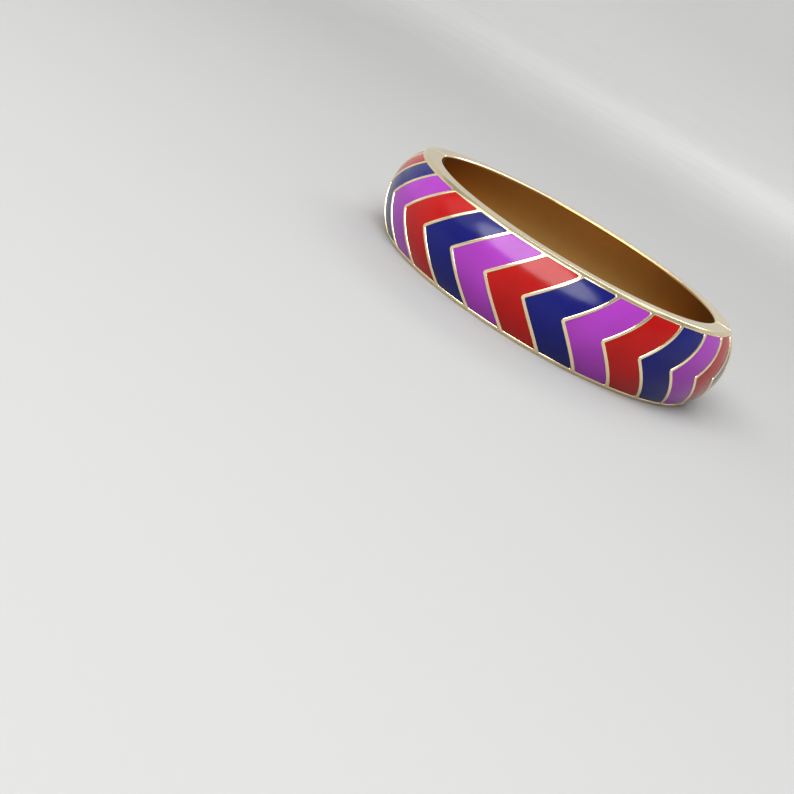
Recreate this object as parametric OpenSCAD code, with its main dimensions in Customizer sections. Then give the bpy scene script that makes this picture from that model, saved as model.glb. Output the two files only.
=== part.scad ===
// Hinged oval bangle: two hollow domed halves of cast metal whose cells hold enamel chevrons.
// The bangle lies on its side. Z is the axis of the wrist and the rim nearer the hand is at Z = 0.
// The front half is on the -Y side. The hinge is at -X and the clasp at +X.
// The back half is the front casting turned half round, so the chevrons run on round the wrist.

/* [Band] */
// Half the inner oval's length, from its centre to the hinge
inner_half_length = 29.6; // [29.2:0.1:30]
// Half the inner oval's breadth, from its centre to the middle of the front
inner_half_breadth = 27.8; // [27.4:0.1:28.2]
// Height of the band along the wrist
band_height = 16; // [15:0.5:17]
// Thickness of the band at its rims
rim_width = 3.3; // [3.1:0.1:3.6]
// Rise of the domed outside over its rims
dome_rise = 3.25; // [3:0.05:3.4]
// Slope cut on the inner edges of the rims
inner_chamfer = 0.3; // [0.1:0.1:0.4]
// Gap between the two halves at the hinge and at the clasp
seam_gap = 0.25; // [0.2:0.05:0.4]

/* [Hollow] */
// Thickness of the inner wall and of the rims
wall = 1; // [0.8:0.1:1.1]
// Thickness of the domed wall, with the cells sunk in it
dome_wall = 1.8; // [1.6:0.1:2]
// Thickness of the end wall beside the hinge
hinge_end_wall = 2.6; // [2.5:0.1:3]
// Thickness of the end wall beside the clasp
clasp_end_wall = 1.5; // [1.2:0.1:1.8]

/* [Chevrons] */
// Distance from one chevron line to the next, along the band
pitch = 7.37; // [7.3:0.01:7.4]
// How far the rim ends of a chevron line lie from its point, along the band
chevron_depth = 6.76; // [6.6:0.02:7]
// Place of the point of line 7, along the band from the middle of the front
middle_line = 0.6; // [0.4:0.1:0.8]
// Width of a raised chevron line
line_width = 0.6; // [0.5:0.05:0.7]
// Height of the metal border between a cell and the rim
rim_border = 0.6; // [0.5:0.05:0.8]
// Metal border between the last cell and the clasp
clasp_border = 0.7; // [0.6:0.05:0.9]
// Metal border between the last cell and the hinge
hinge_border = 1.9; // [1.8:0.05:2.2]
// Depth of a cell under the top of its lines
cell_depth = 0.8; // [0.6:0.05:0.9]
// How far the enamel stays under the top of the lines
enamel_drop = 0.1; // [0.05:0.01:0.15]
// Gap all round the enamel
enamel_gap = 0.03; // [0.02:0.01:0.05]

/* [Hinge] */
// Place of the hinge axis, out from the inner wall
pivot_out = 5.1; // [5:0.05:5.15]
// Radius of the knuckles
knuckle_r = 1.25; // [1.1:0.05:1.25]
// Radius of the hinge pin
pin_r = 0.5; // [0.4:0.05:0.55]
// Running clearance round the pin
pin_clearance = 0.05; // [0.03:0.01:0.08]
// Clearance round the knuckles, in the notches of the other half
knuckle_clearance = 0.15; // [0.1:0.05:0.15]
// Height of the middle knuckle
middle_knuckle_h = 2.7; // [2.4:0.1:3]
// Height of each outer knuckle
outer_knuckle_h = 2.2; // [2:0.1:2.5]
// Gap between one knuckle and the next
knuckle_gap = 0.05; // [0.04:0.01:0.1]
// Slope of the relief outside the hinge axis, which lets the back half turn
relief_angle = 33; // [32:1:35]

/* [Clasp] */
// Height of the tongue
tongue_height = 8; // [6:0.5:8]
// Thickness of the tongue
tongue_t = 1; // [0.8:0.1:1.1]
// Place of the tongue's inner face, out from the inner wall
tongue_out = 2.3; // [2.2:0.1:2.5]
// How far the tongue reaches into the front half
tongue_reach = 5; // [4:0.5:6]
// How far the tongue is fixed into the back half
tongue_root = 3; // [2:0.5:4]
// Clearance round the tongue in the front half
tongue_clearance = 0.2; // [0.15:0.05:0.3]

/* [Hidden] */
$fn = 96;
line_count = 14;
cells = [for (k = [0:line_count]) str(k < 10 ? "0" : "", k)];
FRONT_ENAMEL = concat(
    ["front_enamel_00_low", "front_enamel_00_high"],
    [for (k = [1:line_count]) str("front_enamel_", cells[k])]);
BACK_ENAMEL = [for (k = [0:line_count]) str("back_enamel_", cells[k])];

METAL = [0.89, 0.79, 0.55];
STEEL = [0.75, 0.75, 0.75];
RED = [0.8, 0.12, 0.05];
NAVY = [0.08, 0.11, 0.47];
PURPLE = [0.72, 0.3, 0.8];
ENAMELS = [PURPLE, RED, NAVY];

// Each half is one arc, a little under half a circle, so the two meet in a slight point at either end.
arc_radius = (pow(inner_half_length, 2) + pow(inner_half_breadth, 2)) / (2 * inner_half_breadth);
arc_centre = arc_radius - inner_half_breadth;

// Places along the band are lengths on the curve halfway up the dome, from the middle of the front.
dome_top = rim_width + dome_rise;
curve_radius = arc_radius + rim_width + dome_rise / 2;
half_length = curve_radius * acos(arc_centre / curve_radius) * PI / 180;

// The dome is an arc through both rims.
mid_height = band_height / 2;
dome_radius = (pow(mid_height, 2) + pow(dome_rise, 2)) / (2 * dome_rise);
cell_half = mid_height - rim_border;

// Hinge axis, and the heights of the knuckles round it
pivot_x = -(inner_half_length + pivot_out);
middle_z0 = mid_height - middle_knuckle_h / 2;
low_z0 = middle_z0 - knuckle_gap - outer_knuckle_h;
high_z0 = mid_height + middle_knuckle_h / 2 + knuckle_gap;
relief_start = 0.15;
relief_reach = 4;

// Clasp plate, an arc round the hinge axis so that it slides along itself
tongue_r = 2 * inner_half_length + pivot_out + tongue_out;

// Sizes that only make a cutting shape large enough
past = 0.5;
far = 17;
beyond = 1.2;

function degrees_of(length, radius) = length / radius * 180 / PI;
function line_at(k) = middle_line + (k - 7) * pitch;

// Sweep a section round the front half from s0 to s1. In the section X is out from the inner wall, Y is up.
module sweep(s0, s1) {
    turn = degrees_of(s0, curve_radius);
    translate([0, arc_centre, 0])
        rotate_extrude(angle = degrees_of(s1, curve_radius) - turn, start = turn - 90)
            translate([arc_radius, 0])
                children();
}

// Disc of the dome's arc, less a depth below its top
module dome_disc(depth) {
    translate([dome_top - dome_radius, mid_height]) circle(r = dome_radius - depth);
}

module band_section() {
    intersection() {
        dome_disc(0);
        polygon([
            [0, inner_chamfer], [inner_chamfer, 0], [dome_top + past, 0],
            [dome_top + past, band_height], [inner_chamfer, band_height], [0, band_height - inner_chamfer]
        ]);
    }
}

module hollow_section() {
    intersection() {
        dome_disc(dome_wall);
        translate([wall, wall]) square([dome_top, band_height - 2 * wall]);
    }
}

// Ring of the dome between two depths, and between the rim borders less a margin
module cell_section(top, floor, margin) {
    intersection() {
        difference() {
            dome_disc(top);
            dome_disc(floor);
        }
        translate([0, rim_border + margin])
            square([dome_top + 2 * past, band_height - 2 * (rim_border + margin)]);
    }
}

// One side of chevron line k as a prism along the radius halfway down the line: side is 1 for what lies
// past the line and -1 for what lies before it, both clear of its middle by margin.
module beside_line(k, side, margin) {
    half_turn = degrees_of(chevron_depth / 2, curve_radius);
    rim_out = dome_top - dome_radius + sqrt(pow(dome_radius, 2) - pow(cell_half, 2));
    point = -(arc_radius + dome_top) * sin(half_turn);
    foot = (arc_radius + rim_out) * sin(half_turn);
    slope = (foot - point) / cell_half;
    edge = point + side * margin * sqrt(1 + slope * slope);
    reach = cell_half + past;
    translate([0, arc_centre, mid_height])
        rotate(degrees_of(line_at(k) + chevron_depth / 2, curve_radius))
            translate([0, far / 2 - arc_radius, 0])
                rotate([90, 0, 0])
                    linear_extrude(far)
                        polygon([
                            [edge, 0], [edge + reach * slope, reach], [side * far, reach],
                            [side * far, -reach], [edge + reach * slope, -reach]
                        ]);
}

// Space between lines k - 1 and k, from depth top to depth floor, kept off the two end borders
module cell(k, start_border, end_border, top, floor, margin) {
    s0 = max(line_at(k - 1) - past, start_border + margin - half_length);
    s1 = min(line_at(k) + chevron_depth + past, half_length - end_border - margin);
    intersection() {
        sweep(s0, s1) cell_section(top, floor, margin);
        beside_line(k - 1, 1, line_width / 2 + margin);
        if (k < line_count) {
            beside_line(k, -1, line_width / 2 + margin);
        }
    }
}

// Sunk cells of a half, cut open to beyond the dome
module cell_cuts(start_border, end_border) {
    for (k = [0:line_count]) {
        cell(k, start_border, end_border, -past, cell_depth, 0);
    }
}

module enamel(k, start_border, end_border) {
    color(ENAMELS[k % 3])
        cell(k, start_border, end_border, enamel_drop, cell_depth - enamel_gap, enamel_gap);
}

// Upright cylinder on the hinge axis
module on_pivot(radius, z0, height) {
    translate([pivot_x, 0, z0]) cylinder(r = radius, h = height);
}

// V-shaped relief outside the hinge axis
module hinge_relief() {
    reach = relief_reach * tan(relief_angle);
    translate([pivot_x + relief_start, 0, -past])
        linear_extrude(band_height + 2 * past)
            polygon([[0, 0], [-relief_reach, reach], [-relief_reach, -reach]]);
}

// Plate of the clasp on the arc that it opens along, grown by a clearance
module tongue_plate(clearance, reach, root) {
    start = -degrees_of(reach, tongue_r);
    translate([pivot_x, 0, 0])
        rotate_extrude(start = start, angle = degrees_of(root, tongue_r) - start)
            translate([tongue_r - clearance, mid_height - tongue_height / 2 - clearance])
                square([tongue_t + 2 * clearance, tongue_height + 2 * clearance]);
}

// Hollow domed half with its cells, drawn as the front half lies
module half_band(start_wall, end_wall, start_border, end_border) {
    past_seam = half_length + arc_centre;
    difference() {
        sweep(-past_seam, past_seam) band_section();
        translate([-2 * arc_radius, -seam_gap / 2, -past])
            cube([4 * arc_radius, arc_radius, band_height + 2 * past]);
        sweep(start_wall - half_length, half_length - end_wall) hollow_section();
        cell_cuts(start_border, end_border);
    }
}

module front_shell() {
    color(METAL)
        difference() {
            union() {
                difference() {
                    half_band(hinge_end_wall, clasp_end_wall, hinge_border, clasp_border);
                    hinge_relief();
                    on_pivot(knuckle_r + knuckle_clearance, middle_z0 - knuckle_gap,
                        middle_knuckle_h + 2 * knuckle_gap);
                }
                on_pivot(knuckle_r, low_z0, outer_knuckle_h);
                on_pivot(knuckle_r, high_z0, outer_knuckle_h);
            }
            on_pivot(pin_r + pin_clearance, low_z0 - beyond, high_z0 - low_z0 + outer_knuckle_h + 2 * beyond);
            tongue_plate(tongue_clearance, clasp_end_wall + beyond, beyond);
        }
}

module back_shell() {
    color(METAL)
        difference() {
            union() {
                difference() {
                    rotate(180) half_band(clasp_end_wall, hinge_end_wall, clasp_border, hinge_border);
                    hinge_relief();
                    on_pivot(knuckle_r + knuckle_clearance, low_z0 - knuckle_gap,
                        outer_knuckle_h + 2 * knuckle_gap);
                    on_pivot(knuckle_r + knuckle_clearance, high_z0 - knuckle_gap,
                        outer_knuckle_h + 2 * knuckle_gap);
                }
                on_pivot(knuckle_r, middle_z0, middle_knuckle_h);
            }
            on_pivot(pin_r + pin_clearance, middle_z0 - beyond, middle_knuckle_h + 2 * beyond);
            tongue_plate(enamel_gap, beyond, clasp_end_wall + beyond);
        }
}

module hinge_pin() {
    color(STEEL)
        on_pivot(pin_r, low_z0 + knuckle_gap, high_z0 - low_z0 + outer_knuckle_h - 2 * knuckle_gap);
}

module clasp_tongue() {
    color(STEEL) tongue_plate(0, tongue_reach, tongue_root);
}

// First cell of the front half, which the hinge border parts into two limbs: side is -1 low, 1 high
module front_enamel_limb(side) {
    intersection() {
        enamel(0, hinge_border, clasp_border);
        translate([-2 * inner_half_length, -2 * inner_half_length, side < 0 ? 0 : mid_height])
            cube([2 * inner_half_length, 2 * inner_half_length, mid_height]);
    }
}

front_shell();
back_shell();
hinge_pin();
clasp_tongue();
front_enamel_limb(-1);  // front_enamel_00_low
front_enamel_limb(1);  // front_enamel_00_high
for (k = [1:line_count])
    enamel(k, hinge_border, clasp_border);
for (k = [0:line_count])
    rotate(180) enamel(k, clasp_border, hinge_border);
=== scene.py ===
"""Looks of a hinged enamel bangle: the metal halves, their enamel cells, the hinge, the clasp and the studio.

Sizes are in metres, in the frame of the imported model: +Z is the axis of the wrist, the bangle lies on its
hand-side rim at Z = 0, the hinge is at -X and the middle of the front half at -Y.

Metal and enamel are cut out flat and then wrapped. On the flat sheet X runs along the band from the middle
of the half, Y runs over the section from the middle of the dome, and Z is the lift off the surface.
"""

import logging
import math
from dataclasses import dataclass, field
from enum import Enum
from functools import cached_property

import bmesh
import bpy
from mathutils import Matrix, Vector


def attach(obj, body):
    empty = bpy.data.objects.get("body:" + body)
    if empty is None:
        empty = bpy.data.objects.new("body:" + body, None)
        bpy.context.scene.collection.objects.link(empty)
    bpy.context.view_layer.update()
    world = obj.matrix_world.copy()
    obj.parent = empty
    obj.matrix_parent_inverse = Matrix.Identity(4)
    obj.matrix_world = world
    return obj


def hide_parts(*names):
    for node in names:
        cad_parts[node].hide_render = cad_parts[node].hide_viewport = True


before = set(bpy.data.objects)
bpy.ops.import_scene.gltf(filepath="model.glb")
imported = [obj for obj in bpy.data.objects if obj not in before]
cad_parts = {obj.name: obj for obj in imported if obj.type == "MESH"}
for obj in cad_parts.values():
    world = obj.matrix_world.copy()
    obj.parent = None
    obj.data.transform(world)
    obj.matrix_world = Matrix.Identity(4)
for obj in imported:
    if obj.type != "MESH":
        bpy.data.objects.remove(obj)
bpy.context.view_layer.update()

MM = 0.001
# How near to a plane that cuts new edges, or trims a mesh, a vertex counts as lying on it
CUT_SNAP = 0.004 * MM
TRIM_SNAP = 0.0005 * MM
# How near to each other two vertices of an open edge are joined
WELD_SNAP = 0.002 * MM
# The largest share of an edge that the rounding of one of its corners takes
EDGE_SHARE = 0.45
log = logging.getLogger("bangle")


class Hue(Enum):
    """The three enamels, in the order in which the cells take them."""

    PURPLE = 0
    RED = 1
    NAVY = 2


class Half(Enum):
    """The two halves of the band. The value says which side of Y a half is on."""

    FRONT = -1
    BACK = 1


@dataclass
class Wiring:
    """Small helper that adds and links the nodes of one material.

    Args:
        material: The material whose node tree is filled.
    """

    material: bpy.types.Material

    def __post_init__(self) -> None:
        """Switch the nodes on and find the shader."""
        self.material.use_nodes = True
        self.tree = self.material.node_tree
        self.shader = self.tree.nodes["Principled BSDF"]

    def node(self, kind: str, **settings: object) -> bpy.types.Node:
        """Add a node.

        Args:
            kind: The node's type, such as ShaderNodeTexNoise.
            **settings: Properties, or values of sockets named with underscores for spaces.

        Returns:
            The new node.
        """
        made = self.tree.nodes.new(kind)
        for name, value in settings.items():
            socket = made.inputs.get(name.replace("_", " "))
            if socket is not None:
                socket.default_value = value
            else:
                setattr(made, name, value)
        return made

    def link(self, source: bpy.types.NodeSocket, target: bpy.types.NodeSocket) -> None:
        """Join two sockets."""
        self.tree.links.new(source, target)

    def place(self, scale: tuple[float, float, float] = (1, 1, 1)) -> bpy.types.NodeSocket:
        """Object coordinates, stretched by a scale.

        Args:
            scale: The stretch along X, Y and Z.

        Returns:
            The socket that gives the place.
        """
        coordinates = self.node("ShaderNodeTexCoord")
        mapping = self.node("ShaderNodeMapping", Scale=scale)
        self.link(coordinates.outputs["Object"], mapping.inputs["Vector"])
        return mapping.outputs["Vector"]

    def noise(self, place: bpy.types.NodeSocket, scale: float, detail: float = 2.0) -> bpy.types.NodeSocket:
        """Noise between 0 and 1 at a place.

        Args:
            place: The socket that gives the place.
            scale: Grains in a metre.
            detail: Octaves of finer grain.

        Returns:
            The noise value's socket.
        """
        texture = self.node("ShaderNodeTexNoise", Scale=scale, Detail=detail)
        self.link(place, texture.inputs["Vector"])
        return texture.outputs["Fac"]

    def spread(self, value: bpy.types.NodeSocket, low: float, high: float) -> bpy.types.NodeSocket:
        """Map a noise value onto a range.

        Args:
            value: The noise socket, mostly between 0.3 and 0.7.
            low: The result at 0.3.
            high: The result at 0.7.

        Returns:
            The mapped value's socket.
        """
        node = self.node("ShaderNodeMapRange", From_Min=0.3, From_Max=0.7, To_Min=low, To_Max=high)
        self.link(value, node.inputs["Value"])
        return node.outputs["Result"]

    def mix(self, share: bpy.types.NodeSocket, low: tuple, high: tuple) -> bpy.types.NodeSocket:
        """Mix two colours.

        Args:
            share: The socket that gives the second colour's share.
            low: Red, green and blue of the first colour.
            high: Red, green and blue of the second colour.

        Returns:
            The colour's socket.
        """
        node = self.node("ShaderNodeMix", data_type="RGBA")
        # Sockets 6 and 7 are the node's two colours, and output 2 is their mix.
        node.inputs[6].default_value = (*low, 1)
        node.inputs[7].default_value = (*high, 1)
        self.link(share, node.inputs["Factor"])
        return node.outputs[2]

    def bump(self, height: bpy.types.NodeSocket, depth: float, strength: float = 1.0) -> None:
        """Bump the surface.

        Args:
            height: The socket that gives the height.
            depth: The height's reach in metres.
            strength: How much of it shows.
        """
        node = self.node("ShaderNodeBump", Strength=strength, Distance=depth)
        self.link(height, node.inputs["Height"])
        self.link(node.outputs["Normal"], self.shader.inputs["Normal"])


def shade(colour: tuple[float, float, float], factor: float) -> tuple[float, float, float]:
    """A colour times a factor."""
    return tuple(min(1.0, part * factor) for part in colour)


@dataclass(frozen=True)
class GoldFinish:
    """Pale gold plate, polished outside or finely brushed along the band.

    Here and in the other finishes, tones are the factors between which the colour varies, grains are counted
    in a metre, and a bump is its depth and how much of it shows.
    """

    name: str
    colour: tuple[float, float, float] = (0.97, 0.81, 0.5)
    roughness: tuple[float, float] = (0.13, 0.17)
    brushed: bool = False
    tones: tuple[float, float] = (0.95, 1.03)
    grain: float = 260.0
    ripple_bump: tuple[float, float] = (0.003 * MM, 0.3)
    line_grain: float = 5200.0
    line_stretch: tuple[float, float, float] = (0.02, 0.02, 1)
    line_bump: tuple[float, float] = (0.0005 * MM, 0.2)

    def make(self) -> bpy.types.Material:
        """Build the material.

        Returns:
            The finished material.
        """
        wiring = Wiring(bpy.data.materials.new(self.name))
        wiring.shader.inputs["Metallic"].default_value = 1.0
        worn = wiring.noise(wiring.place(), self.grain, 4.0)
        dark, light = (shade(self.colour, tone) for tone in self.tones)
        wiring.link(wiring.mix(worn, dark, light), wiring.shader.inputs["Base Color"])
        if self.brushed:
            lines = wiring.noise(wiring.place(self.line_stretch), self.line_grain, 1.0)
            wiring.link(wiring.spread(lines, *self.roughness), wiring.shader.inputs["Roughness"])
            wiring.bump(lines, *self.line_bump)
        else:
            smears = wiring.noise(wiring.place(), self.grain * 4, 3.0)
            wiring.link(wiring.spread(smears, *self.roughness), wiring.shader.inputs["Roughness"])
            wiring.bump(wiring.noise(wiring.place(), self.grain * 3, 2.0), *self.ripple_bump)
        return wiring.material


@dataclass(frozen=True)
class EnamelFinish:
    """Opaque poured enamel: a deep colour under a wet gloss, with faint clouds and a faintly wavy face."""

    name: str
    colour: tuple[float, float, float]
    roughness: tuple[float, float] = (0.14, 0.22)
    tones: tuple[float, float] = (0.88, 1.1)
    cloud_grain: float = 120.0
    wave_grain: float = 420.0
    wave_bump: tuple[float, float] = (0.012 * MM, 0.5)
    glass_index: float = 1.52
    gloss: float = 0.24

    def make(self) -> bpy.types.Material:
        """Build the material.

        Returns:
            The finished material.
        """
        wiring = Wiring(bpy.data.materials.new(self.name))
        clouds = wiring.noise(wiring.place(), self.cloud_grain, 5.0)
        dark, light = (shade(self.colour, tone) for tone in self.tones)
        wiring.link(wiring.mix(wiring.spread(clouds, 0.0, 1.0), dark, light),
                    wiring.shader.inputs["Base Color"])
        wiring.link(wiring.spread(wiring.noise(wiring.place(), self.cloud_grain * 6), *self.roughness),
                    wiring.shader.inputs["Roughness"])
        wiring.shader.inputs["IOR"].default_value = self.glass_index
        wiring.shader.inputs["Specular IOR Level"].default_value = self.gloss
        wiring.bump(wiring.noise(wiring.place(), self.wave_grain, 1.0), *self.wave_bump)
        return wiring.material


@dataclass(frozen=True)
class SteelFinish:
    """Satin spring steel with fine marks."""

    name: str
    colour: tuple[float, float, float] = (0.52, 0.51, 0.49)
    roughness: tuple[float, float] = (0.22, 0.38)
    tones: tuple[float, float] = (0.85, 1.1)
    mark_grain: float = 6000.0
    mark_stretch: tuple[float, float, float] = (1, 1, 0.1)
    mark_bump: tuple[float, float] = (0.005 * MM, 0.5)

    def make(self) -> bpy.types.Material:
        """Build the material.

        Returns:
            The finished material.
        """
        wiring = Wiring(bpy.data.materials.new(self.name))
        wiring.shader.inputs["Metallic"].default_value = 1.0
        marks = wiring.noise(wiring.place(self.mark_stretch), self.mark_grain, 3.0)
        dark, light = (shade(self.colour, tone) for tone in self.tones)
        wiring.link(wiring.mix(marks, dark, light), wiring.shader.inputs["Base Color"])
        wiring.link(wiring.spread(marks, *self.roughness), wiring.shader.inputs["Roughness"])
        wiring.bump(marks, *self.mark_bump)
        return wiring.material


@dataclass(frozen=True)
class FloorFinish:
    """Plain pale studio paper, painted lighter towards its edge where less lamp light reaches it: painted
    light.
    """

    name: str = "studio_paper"
    middle_colour: tuple[float, float, float] = (0.32, 0.32, 0.317)
    painted_light_edge_colour: tuple[float, float, float] = (0.74, 0.74, 0.73)
    near: float = 0.3
    far: float = 1.3
    mottle: float = 0.12
    mottle_grain: float = 30.0
    roughness: float = 0.85
    gloss: float = 0.2

    def make(self) -> bpy.types.Material:
        """Build the material.

        Returns:
            The finished material.
        """
        wiring = Wiring(bpy.data.materials.new(self.name))
        place = wiring.place()
        distance = wiring.node("ShaderNodeVectorMath", operation="LENGTH")
        wiring.link(place, distance.inputs[0])
        grain = wiring.node("ShaderNodeMath", operation="MULTIPLY_ADD")
        grain.inputs[1].default_value = self.mottle
        wiring.link(wiring.noise(place, self.mottle_grain, 4.0), grain.inputs[0])
        wiring.link(distance.outputs["Value"], grain.inputs[2])
        # Painted light: the colour rises from the darker middle to the lighter edge to make up for the lamps'
        # falloff, with a noisy boundary.
        share = wiring.node("ShaderNodeMapRange", interpolation_type="SMOOTHSTEP", From_Min=self.near,
                            From_Max=self.far)
        wiring.link(grain.outputs["Value"], share.inputs["Value"])
        wiring.link(wiring.mix(share.outputs["Result"], self.middle_colour, self.painted_light_edge_colour),
                    wiring.shader.inputs["Base Color"])
        wiring.shader.inputs["Roughness"].default_value = self.roughness
        wiring.shader.inputs["Specular IOR Level"].default_value = self.gloss
        return wiring.material


@dataclass
class Workshop:
    """The finishes of the bangle, each made once."""

    polished: bpy.types.Material = field(default_factory=lambda: GoldFinish("polished_gold").make())
    # The inner wall's gold is brushed, and its dark amber colour is painted shade: the shade and warm
    # inter-reflection inside the ring, painted into the colour.
    brushed: bpy.types.Material = field(default_factory=lambda: GoldFinish(
        "brushed_gold", (0.57, 0.32, 0.095), (0.218, 0.222), brushed=True).make())
    steel: bpy.types.Material = field(default_factory=lambda: SteelFinish("spring_steel").make())
    enamels: dict[Hue, bpy.types.Material] = field(default_factory=lambda: {
        Hue.PURPLE: EnamelFinish("purple_enamel", (0.235, 0.026, 0.285)).make(),
        Hue.RED: EnamelFinish("red_enamel", (0.285, 0.0015, 0.0004)).make(),
        Hue.NAVY: EnamelFinish("navy_enamel", (0.002, 0.0036, 0.095)).make(),
    })


def everything(mesh: bmesh.types.BMesh) -> list:
    """All vertices, edges and faces of a mesh."""
    return mesh.verts[:] + mesh.edges[:] + mesh.faces[:]


def cut_across(mesh: bmesh.types.BMesh, axis: int, places: list[float]) -> None:
    """Cut new edges into a mesh on planes across an axis.

    Args:
        mesh: The mesh to cut.
        axis: 0 for planes across X, 1 for planes across Y.
        places: Where the planes stand on the axis.
    """
    normal = Vector((axis == 0, axis == 1, 0))
    for place in places:
        bmesh.ops.bisect_plane(mesh, geom=everything(mesh), plane_co=normal * place, plane_no=normal,
                               dist=CUT_SNAP)


def trim(mesh: bmesh.types.BMesh, point: Vector, outward: Vector, close: bool = True) -> None:
    """Cut a mesh off on a plane.

    Args:
        mesh: The mesh to cut.
        point: A point of the plane.
        outward: The plane's normal, towards what goes away.
        close: Whether the cut is filled.
    """
    bmesh.ops.bisect_plane(mesh, geom=everything(mesh), plane_co=point, plane_no=outward, clear_outer=True,
                           dist=TRIM_SNAP)
    if close:
        rims = [edge for edge in mesh.edges if edge.is_boundary]
        bmesh.ops.holes_fill(mesh, edges=rims, sides=0)


def round_corners(mesh: bmesh.types.BMesh, corners: list[bmesh.types.BMVert], radius: float,
                  hollow_radius: float, segments: int) -> None:
    """Round the corners of a flat face.

    Args:
        mesh: The mesh that holds the face.
        corners: The face's corners.
        radius: The radius at the corners that stand out.
        hollow_radius: The radius at the corners that point inwards.
        segments: Edges in each rounding.
    """
    reaches = []
    for corner in corners:
        size = radius if corner.link_loops[0].is_convex else hollow_radius
        one, other = ((edge.other_vert(corner).co - corner.co) for edge in corner.link_edges)
        reaches.append(min(size / math.tan(one.angle(other) / 2), EDGE_SHARE * min(one.length, other.length)))
    for corner, reach in zip(corners, reaches):
        bmesh.ops.bevel(mesh, geom=[corner], offset=reach, affect="VERTICES", segments=segments, profile=0.5,
                        material=-1)


def baked(piece: bpy.types.Object) -> None:
    """Apply all modifiers of a piece to its mesh.

    Args:
        piece: The piece, which keeps the mesh and loses the modifiers.
    """
    graph = bpy.context.evaluated_depsgraph_get()
    mesh = bpy.data.meshes.new_from_object(piece.evaluated_get(graph))
    piece.modifiers.clear()
    piece.data = mesh


def carve(piece: bpy.types.Object, cutter: bmesh.types.BMesh) -> None:
    """Cut a closed shape out of a piece.

    Args:
        piece: The piece to cut.
        cutter: The closed shape, which is used up.
    """
    data = bpy.data.meshes.new("cutter")
    cutter.to_mesh(data)
    cutter.free()
    tool = bpy.data.objects.new("cutter", data)
    bpy.context.scene.collection.objects.link(tool)
    cut = piece.modifiers.new("cut", "BOOLEAN")
    cut.operation = "DIFFERENCE"
    cut.solver = "EXACT"
    cut.object = tool
    baked(piece)
    bpy.data.objects.remove(tool)


def make_piece(name: str, mesh: bmesh.types.BMesh, body: str, slot: str, materials: list[bpy.types.Material],
               replaces: tuple[str, ...] = (), sharp_degrees: float = 40.0) -> bpy.types.Object:
    """Turn a finished mesh into a piece that rides on a body.

    Args:
        name: The piece's name.
        mesh: The mesh in place, which is used up.
        body: The body that it rides on.
        slot: The record's material slot; not used.
        materials: The piece's materials, in the order of its faces' indices.
        replaces: The nodes that it stands for.
        sharp_degrees: Edges that turn more than this stay sharp.

    Returns:
        The piece's object.
    """
    data = bpy.data.meshes.new(name)
    for face in mesh.faces:
        face.smooth = True
    mesh.to_mesh(data)
    mesh.free()
    for material in materials:
        data.materials.append(material)
    data.set_sharp_from_angle(angle=math.radians(sharp_degrees))
    piece = bpy.data.objects.new(name, data)
    bpy.context.scene.collection.objects.link(piece)
    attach(piece, body)
    if replaces:
        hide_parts(*replaces)
    log.info("%s: %d faces, rides on %s", name, len(data.polygons), body)
    return piece


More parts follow.
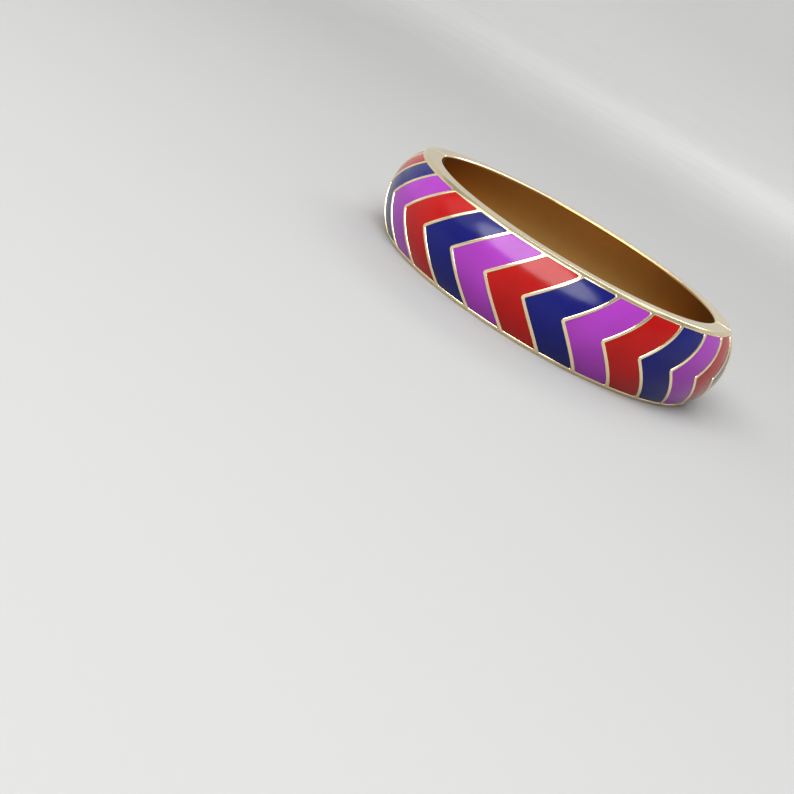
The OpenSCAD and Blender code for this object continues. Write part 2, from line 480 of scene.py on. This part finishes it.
@dataclass(frozen=True)
class Section:
    """Section of the band: a dome over two flat rims and a straight inner wall, with rounded edges."""

    height: float = 16 * MM
    rim_width: float = 3.3 * MM
    dome_rise: float = 3.25 * MM
    outer_round: float = 0.2 * MM
    inner_round: float = 0.35 * MM
    # Cuts over each rounded edge, and how far past it lies the cut that keeps the flat beside it flat
    outer_steps: int = 3
    inner_steps: int = 5
    holding_gap: float = 0.06 * MM

    @cached_property
    def dome_top(self) -> float:
        """Reach of the dome, out from the inner wall."""
        return self.rim_width + self.dome_rise

    @cached_property
    def dome_radius(self) -> float:
        """Radius of the dome's arc, which passes through both rims."""
        return ((self.height / 2) ** 2 + self.dome_rise ** 2) / (2 * self.dome_rise)

    @cached_property
    def rim_edge(self) -> float:
        """Where the outer edge's rounding leaves the rim, out from the inner wall."""
        reach = self.dome_radius - self.outer_round
        rise = self.height / 2 - self.outer_round
        return self.dome_top - self.dome_radius + math.sqrt(reach ** 2 - rise ** 2)

    @cached_property
    def shoulder_tilt(self) -> float:
        """Tilt of the dome where its rounding starts."""
        rise = self.height / 2 - self.outer_round
        return math.asin(rise / (self.dome_radius - self.outer_round))

    @cached_property
    def walk_ends(self) -> tuple[float, float, float, float, float]:
        """Ends of the stretches of the walk from the dome's middle to the inner wall's."""
        shoulder = self.dome_radius * math.sin(self.shoulder_tilt)
        rim_start = shoulder + self.outer_round * (math.pi / 2 - self.shoulder_tilt)
        rim_end = rim_start + self.rim_edge - self.inner_round
        wall_start = rim_end + self.inner_round * math.pi / 2
        return shoulder, rim_start, rim_end, wall_start, wall_start + self.height / 2 - self.inner_round

    @property
    def shoulder(self) -> float:
        """Half the height of the dome inside its rounded edges."""
        return self.walk_ends[0]

    def point(self, walk: float, lift: float) -> tuple[float, float]:
        """Place on the section.

        Args:
            walk: Height on the dome, and past the shoulder the length walked over the section.
            lift: Lift off the surface, along its normal.

        Returns:
            The distance out from the inner wall, and the height over the middle.
        """
        shoulder, rim_start, rim_end, wall_start, _ = self.walk_ends
        half = self.height / 2
        way = abs(walk)
        if way <= shoulder:
            tilt = math.asin(way / self.dome_radius)
            out, rise, radius = self.dome_top - self.dome_radius, 0.0, self.dome_radius
        elif way <= rim_start:
            tilt = self.shoulder_tilt + (way - shoulder) / self.outer_round
            out, rise, radius = self.rim_edge, half - self.outer_round, self.outer_round
        elif way <= rim_end:
            tilt = math.pi / 2
            out, rise, radius = self.rim_edge - (way - rim_start), half, 0.0
        elif way <= wall_start:
            tilt = math.pi / 2 + (way - rim_end) / self.inner_round
            out, rise, radius = self.inner_round, half - self.inner_round, self.inner_round
        else:
            tilt = math.pi
            out, rise, radius = 0.0, half - self.inner_round - (way - wall_start), 0.0
        radius += lift
        return out + radius * math.cos(tilt), math.copysign(rise + radius * math.sin(tilt), walk)

    def cuts(self, step: float) -> list[float]:
        """Places over the section where the sheet is cut, so that it bends well.

        Args:
            step: The distance between cuts on the dome.

        Returns:
            The places on both sides of the dome's middle.
        """
        shoulder, rim_start, rim_end, wall_start, end = self.walk_ends
        count = round(shoulder / step)
        ways = [shoulder * i / count for i in range(1, count + 1)]
        ways += [shoulder + (rim_start - shoulder) * i / self.outer_steps
                 for i in range(1, self.outer_steps + 1)]
        ways += [rim_start + self.holding_gap, (rim_start + rim_end) / 2, rim_end - self.holding_gap]
        ways += [rim_end + (wall_start - rim_end) * i / self.inner_steps for i in range(self.inner_steps + 1)]
        ways += [wall_start + self.holding_gap, (wall_start + end) / 2]
        return [-way for way in reversed(ways)] + [0.0] + ways


@dataclass(frozen=True)
class Chevrons:
    """The pattern of a half: raised lines with a point towards lower X, and the cells between them."""

    pitch: float = 7.37 * MM
    depth: float = 6.76 * MM
    middle_line: float = 0.6 * MM
    middle_index: int = 7
    line_width: float = 0.6 * MM
    half_height: float = 7.4 * MM
    hinge_border: float = 1.9 * MM
    clasp_border: float = 0.7 * MM
    last_cell: int = 14
    lip: float = 0.14 * MM
    corner_radius: float = 0.36 * MM
    bend_radius: float = 0.45 * MM
    corner_steps: int = 10
    # A vertex where the outline turns less than this, in radians, isn't a corner
    straight_angle: float = 0.01

    @property
    def slope(self) -> float:
        """Run of a line along the band for each length up the band."""
        return self.depth / self.half_height

    def line(self, index: int) -> float:
        """Place of a line's point along the band."""
        return self.middle_line + (index - self.middle_index) * self.pitch

    def outlines(self, index: int, low_end: float, high_end: float) -> list[list[Vector]]:
        """Flat outlines of one cell with rounded corners, as wide as the tops of its lines leave it.

        Args:
            index: The cell's number. It lies between the lines index - 1 and index.
            low_end: The lowest place along the band that a cell reaches.
            high_end: The highest.

        Returns:
            One outline, or two limbs from below upwards where an end border parts the cell.
        """
        top = self.half_height + self.lip
        margin = (self.line_width / 2 - self.lip) * math.hypot(1, self.slope)
        left = self.line(index - 1) + margin
        right = self.line(index) - margin if index < self.last_cell else high_end + top
        run = top * self.slope
        mesh = bmesh.new()
        left_point, right_point = mesh.verts.new((left, 0, 0)), mesh.verts.new((right, 0, 0))
        for rise in (-top, top):
            mesh.faces.new([left_point, right_point, mesh.verts.new((right + run, rise, 0)),
                            mesh.verts.new((left + run, rise, 0))])
        trim(mesh, Vector((low_end - self.lip, 0, 0)), Vector((-1, 0, 0)), close=False)
        trim(mesh, Vector((high_end + self.lip, 0, 0)), Vector((1, 0, 0)), close=False)
        bmesh.ops.dissolve_edges(mesh, edges=[edge for edge in mesh.edges if not edge.is_boundary])
        straight = [vertex for vertex in mesh.verts if vertex.calc_edge_angle(1.0) < self.straight_angle]
        bmesh.ops.dissolve_verts(mesh, verts=straight)
        for face in mesh.faces[:]:
            round_corners(mesh, face.verts[:], self.corner_radius, self.bend_radius, self.corner_steps)
        for face in mesh.faces:
            face.normal_update()
            if face.normal.z < 0:
                face.normal_flip()
        limbs = sorted(mesh.faces, key=lambda face: face.calc_center_median().y)
        found = [[vertex.co.copy() for vertex in face.verts] for face in limbs]
        mesh.free()
        return found


@dataclass(frozen=True)
class Hinge:
    """The hinge: its axis, knuckles, and the relief that lets the back half turn."""

    pivot_out: float = 5.1 * MM
    knuckle_radius: float = 1.25 * MM
    clearance: float = 0.15 * MM
    bore_radius: float = 0.55 * MM
    middle_height: float = 2.7 * MM
    outer_height: float = 2.2 * MM
    gap: float = 0.05 * MM
    relief_degrees: float = 33.0
    relief_start: float = 0.15 * MM
    sides: int = 64

    @property
    def reach(self) -> float:
        """Height from the band's middle that the hinge takes, with its gap."""
        return self.middle_height / 2 + self.outer_height + 2 * self.gap

    def stretches(self, half: Half) -> list[tuple[float, float]]:
        """Heights from the band's middle that a half's knuckles take.

        Args:
            half: The half that carries them.

        Returns:
            The lowest and highest place of each knuckle.
        """
        middle = self.middle_height / 2
        if half is Half.BACK:
            return [(-middle, middle)]
        low = middle + self.gap
        return [(-low - self.outer_height, -low), (low, low + self.outer_height)]

    def barrel(self, mesh: bmesh.types.BMesh, centre: Vector, radius: float, low: float, high: float) -> None:
        """Add an upright closed cylinder.

        Args:
            mesh: The mesh to add it to.
            centre: The point of the axis at height nought.
            radius: The cylinder's radius.
            low: Its lowest place.
            high: Its highest place.
        """
        place = Matrix.Translation(centre + Vector((0, 0, (low + high) / 2)))
        bmesh.ops.create_cone(mesh, cap_ends=True, segments=self.sides, radius1=radius, radius2=radius,
                              depth=high - low, matrix=place)


@dataclass(frozen=True)
class Clasp:
    """The clasp's slot in the end of the front half."""

    out: float = 2.7 * MM
    width: float = 1.6 * MM
    height: float = 8.4 * MM
    depth: float = 6.0 * MM


@dataclass
class BandHalf:
    """One half of the bangle: its metal, with sunk cells and rounded lines, and its enamel."""

    half: Half
    workshop: Workshop
    section: Section = field(default_factory=Section)
    chevrons: Chevrons = field(default_factory=Chevrons)
    hinge: Hinge = field(default_factory=Hinge)
    clasp: Clasp = field(default_factory=Clasp)
    inner_half_length: float = 29.6 * MM
    inner_half_breadth: float = 27.8 * MM
    seam_gap: float = 0.25 * MM
    seam_round: float = 0.2 * MM
    seam_steps: int = 4
    lip_steps: int = 4
    cell_depth: float = 0.45 * MM
    floor_inset: float = 0.002 * MM
    # The enamel's underside over the cell's floor, and its edge under the tops of the lines
    enamel_rest: float = 0.02 * MM
    enamel_edge: float = 0.25 * MM
    # Steps of the enamel's rounded edge: how far in and how far up each one goes
    enamel_swell: tuple[tuple[float, float], ...] = (
        (0.02 * MM, 0.04 * MM), (0.03 * MM, 0.03 * MM), (0.05 * MM, 0.015 * MM), (0.045 * MM, 0.0))
    # The least share of its normal that a face of the inner wall turns to the wrist
    wall_facing: float = 0.8
    # The step between cuts along the band, the steps that no cut comes nearer to a seam, and the spare length
    step: float = 0.5 * MM
    clear_steps: float = 1.2
    spare_steps: int = 3

    @property
    def name(self) -> str:
        """The half's name, which is its body's too."""
        return self.half.name.lower()

    @cached_property
    def arc_radius(self) -> float:
        """Radius of the half's inner wall."""
        return (self.inner_half_length ** 2 + self.inner_half_breadth ** 2) / (2 * self.inner_half_breadth)

    @cached_property
    def arc_centre(self) -> float:
        """Distance of the half's centre behind the bangle's."""
        return self.arc_radius - self.inner_half_breadth

    @cached_property
    def curve_radius(self) -> float:
        """Radius halfway up the dome, where lengths along the band are true."""
        return self.arc_radius + self.section.rim_width + self.section.dome_rise / 2

    @cached_property
    def half_length(self) -> float:
        """Length along the band from the half's middle to its seam."""
        return self.curve_radius * math.acos(self.arc_centre / self.curve_radius)

    @property
    def pivot(self) -> Vector:
        """The hinge axis, at the band's middle height."""
        return Vector((-self.inner_half_length - self.hinge.pivot_out, 0, self.section.height / 2))

    @property
    def ends(self) -> tuple[float, float]:
        """Lowest and highest place of the cells along the band."""
        low, high = self.chevrons.hinge_border, self.chevrons.clasp_border
        if self.half is Half.BACK:
            low, high = high, low
        return low - self.half_length, self.half_length - high

    def wrap(self, mesh: bmesh.types.BMesh) -> None:
        """Bend a flat sheet over the section and round the wrist.

        Args:
            mesh: The sheet, which becomes the half.
        """
        turn = -self.half.value
        for vertex in mesh.verts:
            along, walk, lift = vertex.co
            out, rise = self.section.point(walk, lift)
            angle = along / self.curve_radius
            radius = self.arc_radius + out
            vertex.co = (turn * radius * math.sin(angle), turn * (self.arc_centre - radius * math.cos(angle)),
                         self.section.height / 2 + rise)

    def along_cuts(self, low: float, high: float) -> list[float]:
        """Places along the band where the sheet is cut, so that it bends well.

        Args:
            low: The lowest place.
            high: The highest place.

        Returns:
            The places, none of them near the seams.
        """
        reach = self.half_length - self.clear_steps * self.step
        count = round(2 * reach / self.step)
        places = [-reach + 2 * reach * i / count for i in range(count + 1)]
        return [place for place in places if low < place < high]

    def sink(self, mesh: bmesh.types.BMesh, faces: list[bmesh.types.BMFace]) -> None:
        """Round the lips of flat cells and sink their floors.

        Args:
            mesh: The sheet.
            faces: The cells.
        """
        lip = self.chevrons.lip
        done_in = done_down = 0.0
        for i in range(1, self.lip_steps + 1):
            turn = math.radians(90 * i / self.lip_steps)
            inward, down = lip * math.sin(turn), lip * (1 - math.cos(turn))
            bmesh.ops.inset_individual(mesh, faces=faces, thickness=inward - done_in,
                                       depth=done_down - down, use_even_offset=True)
            done_in, done_down = inward, down
        bmesh.ops.inset_individual(mesh, faces=faces, thickness=self.floor_inset,
                                   depth=lip - self.cell_depth, use_even_offset=True)

    def flat_metal(self) -> bmesh.types.BMesh:
        """Cut the half's metal out flat, with its cells sunk.

        Returns:
            The flat sheet.
        """
        mesh = bmesh.new()
        cells = []
        for index in range(self.chevrons.last_cell + 1):
            for outline in self.chevrons.outlines(index, *self.ends):
                cells.append(mesh.faces.new([mesh.verts.new(point) for point in outline]))
        edges = mesh.edges[:]
        reach = self.half_length + self.spare_steps * self.step
        shoulder, end = self.section.shoulder, self.section.walk_ends[-1]
        corners = [mesh.verts.new((x * reach, y * shoulder, 0))
                   for x, y in ((-1, -1), (1, -1), (1, 1), (-1, 1))]
        frame_edges = [mesh.edges.new((corners[i - 1], corners[i])) for i in range(4)]
        bmesh.ops.triangle_fill(mesh, edges=edges + frame_edges, use_beauty=True, normal=(0, 0, 1))
        self.sink(mesh, cells)
        for edge in (frame_edges[1], frame_edges[3]):
            made = bmesh.ops.extrude_edge_only(mesh, edges=[edge])
            strip = [part for part in made["geom"] if isinstance(part, bmesh.types.BMVert)]
            shift = math.copysign(end - shoulder, strip[0].co.y)
            bmesh.ops.translate(mesh, verts=strip, vec=(0, shift, 0))
        cut_across(mesh, 1, self.section.cuts(self.step))
        cut_across(mesh, 0, self.along_cuts(-self.half_length, self.half_length))
        return mesh

    def build_metal(self) -> bpy.types.Object:
        """Make the metal half.

        Returns:
            The half's object.
        """
        mesh = self.flat_metal()
        self.wrap(mesh)
        bmesh.ops.remove_doubles(mesh, verts=[vertex for vertex in mesh.verts if vertex.is_boundary],
                                 dist=WELD_SNAP)
        side = self.half.value
        self.round_seam(mesh, side)
        trim(mesh, Vector((0, side * self.seam_gap / 2, 0)), Vector((0, -side, 0)))
        slope = math.radians(self.hinge.relief_degrees)
        trim(mesh, self.pivot + Vector((self.hinge.relief_start, 0, 0)),
             Vector((-math.sin(slope), -side * math.cos(slope), 0)))
        bmesh.ops.recalc_face_normals(mesh, faces=mesh.faces)
        self.mark_brushed_shaded_wall(mesh)
        return make_piece(f"{self.name}_band", mesh, self.name, "gold_metal",
                          [self.workshop.polished, self.workshop.brushed], (f"{self.name}_shell",))

    def round_seam(self, mesh: bmesh.types.BMesh, side: int) -> None:
        """Round the edges that the band gets at its seams, by sinking the skin beside them.

        Args:
            mesh: The half, still longer than its seams.
            side: The side of the half, 1 for +Y and -1 for -Y.
        """
        bmesh.ops.recalc_face_normals(mesh, faces=mesh.faces)
        turns = [math.radians(90 * i / self.seam_steps) for i in range(self.seam_steps + 1)]
        depths = [self.seam_round * (1 - math.sin(turn)) for turn in turns]
        cut_across(mesh, 1, [side * (self.seam_gap / 2 + depth) for depth in depths])
        mesh.normal_update()
        moves = []
        for vertex in mesh.verts:
            inside = side * vertex.co.y - self.seam_gap / 2
            if inside < self.seam_round:
                short = self.seam_round - max(inside, 0.0)
                moves.append((vertex, vertex.normal * (math.sqrt(self.seam_round ** 2 - short ** 2)
                                                       - self.seam_round)))
        for vertex, move in moves:
            vertex.co += move

    def mark_brushed_shaded_wall(self, mesh: bmesh.types.BMesh) -> None:
        """Give the inner wall the second material, brushed gold whose darker amber colour is painted shade.

        Args:
            mesh: The closed half.
        """
        for face in mesh.faces:
            middle = face.calc_center_median()
            inward = Vector((middle.x, middle.y, 0)).normalized()
            if face.normal.dot(inward) < -self.wall_facing:
                face.material_index = 1

    def build_enamel(self) -> None:
        """Make the enamel of every cell."""
        for index in range(self.chevrons.last_cell + 1):
            outlines = self.chevrons.outlines(index, *self.ends)
            endings = ("_low", "_high") if len(outlines) > 1 else ("",)
            for outline, ending in zip(outlines, endings):
                self.pour(f"{self.name}_enamel_{index:02d}{ending}", outline, Hue(index % len(Hue)))

    def pour(self, name: str, outline: list[Vector], hue: Hue) -> None:
        """Fill one cell with enamel whose face dips a little towards its edge.

        Args:
            name: The name of the enamel's node.
            outline: The cell's flat outline at its lip.
            hue: The enamel's colour.
        """
        mesh = bmesh.new()
        kept = mesh.faces.new([mesh.verts.new(point) for point in outline])
        bmesh.ops.translate(mesh, verts=mesh.verts, vec=(0, 0, -self.cell_depth + self.enamel_rest))
        grown = bmesh.ops.extrude_face_region(mesh, geom=[kept], use_keep_orig=True)
        risen = [part for part in grown["geom"] if isinstance(part, bmesh.types.BMVert)]
        bmesh.ops.translate(mesh, verts=risen, vec=(0, 0, self.cell_depth - self.enamel_edge))
        top = next(part for part in grown["geom"] if isinstance(part, bmesh.types.BMFace))
        bmesh.ops.recalc_face_normals(mesh, faces=mesh.faces)
        for inward, upward in self.enamel_swell:
            bmesh.ops.inset_individual(mesh, faces=[top], thickness=inward, depth=upward,
                                       use_even_offset=True)
        places = [vertex.co.x for vertex in mesh.verts]
        cut_across(mesh, 1, [cut for cut in self.section.cuts(self.step) if abs(cut) < self.section.shoulder])
        cut_across(mesh, 0, self.along_cuts(min(places), max(places)))
        self.wrap(mesh)
        bmesh.ops.recalc_face_normals(mesh, faces=mesh.faces)
        make_piece(f"{name}_fill", mesh, self.name, f"{hue.name.lower()}_enamel",
                   [self.workshop.enamels[hue]], (name,))


@dataclass(frozen=True)
class Softbox:
    """An oval soft light: its place, its width and height, its power in watts and what it faces."""

    name: str
    place: tuple[float, float, float]
    size: tuple[float, float]
    power: float
    target: tuple[float, float, float] = (0, 0, 8 * MM)


@dataclass
class Studio:
    """Pale seamless floor, soft lights and the camera."""

    floor_radius: float = 0.9
    sweep_radius: float = 0.8
    sweep_steps: int = 12
    floor_sides: int = 96
    floor_snap: float = 0.1 * MM
    wall_height: float = 1.1
    softboxes: tuple[Softbox, ...] = (
        Softbox("key_softbox", (-0.08, -0.39, 0.454), (0.86, 0.42), 7.2),
        Softbox("left_softbox", (-0.5, -0.2, 0.48), (0.5, 0.5), 0.7),
        Softbox("back_softbox", (0.15, 0.62, 0.5), (0.6, 0.3), 2.6, (0.1, 0.3, 0)),
        Softbox("top_softbox", (0.05, 0.5, 1.3), (1.8, 1.3), 5.2, (0.1, 1.4, 0.1)),
    )
    # The backdrop's lights stand round the floor at these azimuths, and each faces the wall behind it.
    backdrop_azimuths: tuple[tuple[str, float], ...] = (("front", 185), ("left", 275), ("right", 95))
    backdrop_place: tuple[float, float] = (0.8, 0.7)
    backdrop_target: tuple[float, float] = (1.55, 0.3)
    backdrop_size: tuple[float, float] = (0.9, 0.5)
    backdrop_power: float = 3.8
    room_colour: tuple[float, float, float, float] = (0.98, 0.99, 1.0, 1)
    room_strength: float = 0.36
    azimuth: float = -9.0
    elevation: float = 18.32
    roll: float = 30.22
    distance: float = 0.2518
    focal_pixels: float = 1332.6
    picture_pixels: float = 794.0
    bangle_pixel: tuple[float, float] = (556.5, 273.3)
    bangle_middle: Vector = field(default_factory=lambda: Vector((0, 0, 8 * MM)))
    sensor_width: float = 36.0
    sight: tuple[float, float] = (0.01, 20.0)

    def build_floor(self) -> None:
        """Make the floor, a wide dish whose edge sweeps up on all sides."""
        mesh = bmesh.new()
        profile = [(0.0, 0.0), (self.floor_radius, 0.0)]
        for i in range(1, self.sweep_steps + 1):
            turn = math.pi / 2 * i / self.sweep_steps
            profile.append((self.floor_radius + self.sweep_radius * math.sin(turn),
                            self.sweep_radius * (1 - math.cos(turn))))
        profile.append((self.floor_radius + self.sweep_radius, self.wall_height))
        points = [mesh.verts.new((x, 0, z)) for x, z in profile]
        edges = [mesh.edges.new(pair) for pair in zip(points, points[1:])]
        bmesh.ops.spin(mesh, geom=points + edges, cent=(0, 0, 0), axis=(0, 0, 1), angle=2 * math.pi,
                       steps=self.floor_sides, use_merge=True)
        bmesh.ops.remove_doubles(mesh, verts=mesh.verts, dist=self.floor_snap)
        bmesh.ops.recalc_face_normals(mesh, faces=mesh.faces)
        data = bpy.data.meshes.new("floor")
        for face in mesh.faces:
            face.smooth = True
        mesh.to_mesh(data)
        mesh.free()
        data.materials.append(FloorFinish().make())
        floor = bpy.data.objects.new("floor", data)
        bpy.context.scene.collection.objects.link(floor)

    def add_softbox(self, box: Softbox) -> None:
        """Add a soft light that the camera doesn't see.

        Args:
            box: The light's place, size, power and target.
        """
        light = bpy.data.lights.new(box.name, "AREA")
        light.shape = "ELLIPSE"
        light.size, light.size_y = box.size
        light.energy = box.power
        lamp = bpy.data.objects.new(box.name, light)
        lamp.visible_camera = False
        lamp.location = box.place
        lamp.rotation_euler = (Vector(box.target) - Vector(box.place)).to_track_quat("-Z", "Y").to_euler()
        bpy.context.scene.collection.objects.link(lamp)

    def backdrop_softbox(self, side: str, azimuth: float) -> Softbox:
        """One of the lights that brighten the backdrop.

        Args:
            side: The side's name.
            azimuth: The side's direction in degrees, from +Y towards +X.

        Returns:
            The light, which faces the wall.
        """
        turn = math.radians(azimuth)
        place, target = ((reach * math.sin(turn), reach * math.cos(turn), height)
                         for reach, height in (self.backdrop_place, self.backdrop_target))
        return Softbox(f"{side}_backdrop_softbox", place, self.backdrop_size, self.backdrop_power, target)

    def build_lights(self) -> None:
        """Add the lights and the dim room."""
        for box in self.softboxes:
            self.add_softbox(box)
        for side, azimuth in self.backdrop_azimuths:
            self.add_softbox(self.backdrop_softbox(side, azimuth))
        world = bpy.data.worlds.new("room")
        bpy.context.scene.world = world
        world.use_nodes = True
        background = world.node_tree.nodes["Background"]
        background.inputs["Color"].default_value = self.room_colour
        background.inputs["Strength"].default_value = self.room_strength

    def build_camera(self) -> None:
        """Set the camera at the photo's angle to the bangle."""
        azimuth, elevation, roll = (math.radians(v) for v in (self.azimuth, self.elevation, self.roll))
        ahead = Vector((math.sin(azimuth) * math.cos(elevation), math.cos(azimuth) * math.cos(elevation),
                        -math.sin(elevation)))
        level = Vector((math.cos(azimuth), -math.sin(azimuth), 0))
        upward = level.cross(ahead)
        right = math.cos(roll) * level + math.sin(roll) * upward
        up = math.cos(roll) * upward - math.sin(roll) * level
        middle = self.picture_pixels / 2
        across = (self.bangle_pixel[0] - middle) / self.focal_pixels
        above = (middle - self.bangle_pixel[1]) / self.focal_pixels
        place = self.bangle_middle - self.distance * (ahead + across * right + above * up)
        data = bpy.data.cameras.new("camera")
        data.sensor_width = self.sensor_width
        data.lens = self.sensor_width * self.focal_pixels / self.picture_pixels
        data.clip_start, data.clip_end = self.sight
        camera = bpy.data.objects.new("camera", data)
        turn = Matrix((right, up, -ahead)).transposed().to_4x4()
        camera.matrix_world = Matrix.Translation(place) @ turn
        bpy.context.scene.collection.objects.link(camera)
        bpy.context.scene.camera = camera

    def build(self) -> None:
        """Make the whole studio."""
        self.build_floor()
        self.build_lights()
        self.build_camera()
        bpy.context.scene.view_settings.view_transform = "Standard"
        log.info("studio: floor, lights and camera")


@dataclass
class HingeAndClasp:
    """The knuckles, the hinge pin and the clasp tongue, with the room that they need in the halves."""

    workshop: Workshop
    edge_round: float = 0.12 * MM
    edge_steps: int = 2

    def bore(self, band: BandHalf, piece: bpy.types.Object) -> None:
        """Cut the hinge pin's bore through a piece.

        Args:
            band: The half that the piece belongs to.
            piece: The piece.
        """
        cutter = bmesh.new()
        band.hinge.barrel(cutter, band.pivot, band.hinge.bore_radius, -band.hinge.reach, band.hinge.reach)
        carve(piece, cutter)

    def dress_cad(self) -> None:
        """Give the pin and the tongue, whose CAD shapes are right, their steel."""
        for name in ("hinge_pin", "clasp_tongue"):
            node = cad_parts[name]
            node.data.materials.clear()
            node.data.materials.append(self.workshop.steel)
            log.info("%s: keeps its shape, takes steel", name)

    def add_knuckles(self, band: BandHalf) -> None:
        """Make a half's knuckles, bored for the pin.

        Args:
            band: The half that carries them.
        """
        mesh = bmesh.new()
        for low, high in band.hinge.stretches(band.half):
            band.hinge.barrel(mesh, band.pivot, band.hinge.knuckle_radius, low, high)
        # A rim lies between a round end and one of the sides, so its two faces differ in their corners.
        rims = [edge for edge in mesh.edges if len(edge.link_faces[0].verts) != len(edge.link_faces[1].verts)]
        bmesh.ops.bevel(mesh, geom=rims, offset=self.edge_round, affect="EDGES",
                        segments=self.edge_steps, profile=0.5, material=-1)
        piece = make_piece(f"{band.name}_knuckles", mesh, band.name, "gold_metal", [self.workshop.polished],
                           (f"{band.name}_shell",))
        self.bore(band, piece)

    def make_room(self, band: BandHalf, piece: bpy.types.Object) -> None:
        """Cut the notches for the other half's knuckles, the pin's bore and the tongue's slot.

        Args:
            band: The half.
            piece: The half's metal.
        """
        other = Half.BACK if band.half is Half.FRONT else Half.FRONT
        cutter = bmesh.new()
        radius = band.hinge.knuckle_radius + band.hinge.clearance
        for low, high in band.hinge.stretches(other):
            band.hinge.barrel(cutter, band.pivot, radius, low - band.hinge.gap, high + band.hinge.gap)
        carve(piece, cutter)
        self.bore(band, piece)
        if band.half is Half.FRONT:
            cutter = bmesh.new()
            middle = Vector((band.inner_half_length + band.clasp.out, 0, band.section.height / 2))
            size = Matrix.Diagonal((band.clasp.width, 2 * band.clasp.depth, band.clasp.height, 1))
            bmesh.ops.create_cube(cutter, size=1.0, matrix=Matrix.Translation(middle) @ size)
            carve(piece, cutter)


def main() -> None:
    """Build the bangle and its studio, and report every piece."""
    logging.basicConfig(level=logging.INFO, format="%(name)s: %(message)s")
    workshop = Workshop()
    joinery = HingeAndClasp(workshop)
    for half in Half:
        band = BandHalf(half, workshop)
        metal = band.build_metal()
        joinery.make_room(band, metal)
        joinery.add_knuckles(band)
        band.build_enamel()
    joinery.dress_cad()
    Studio().build()


if __name__ == "__main__":
    main()
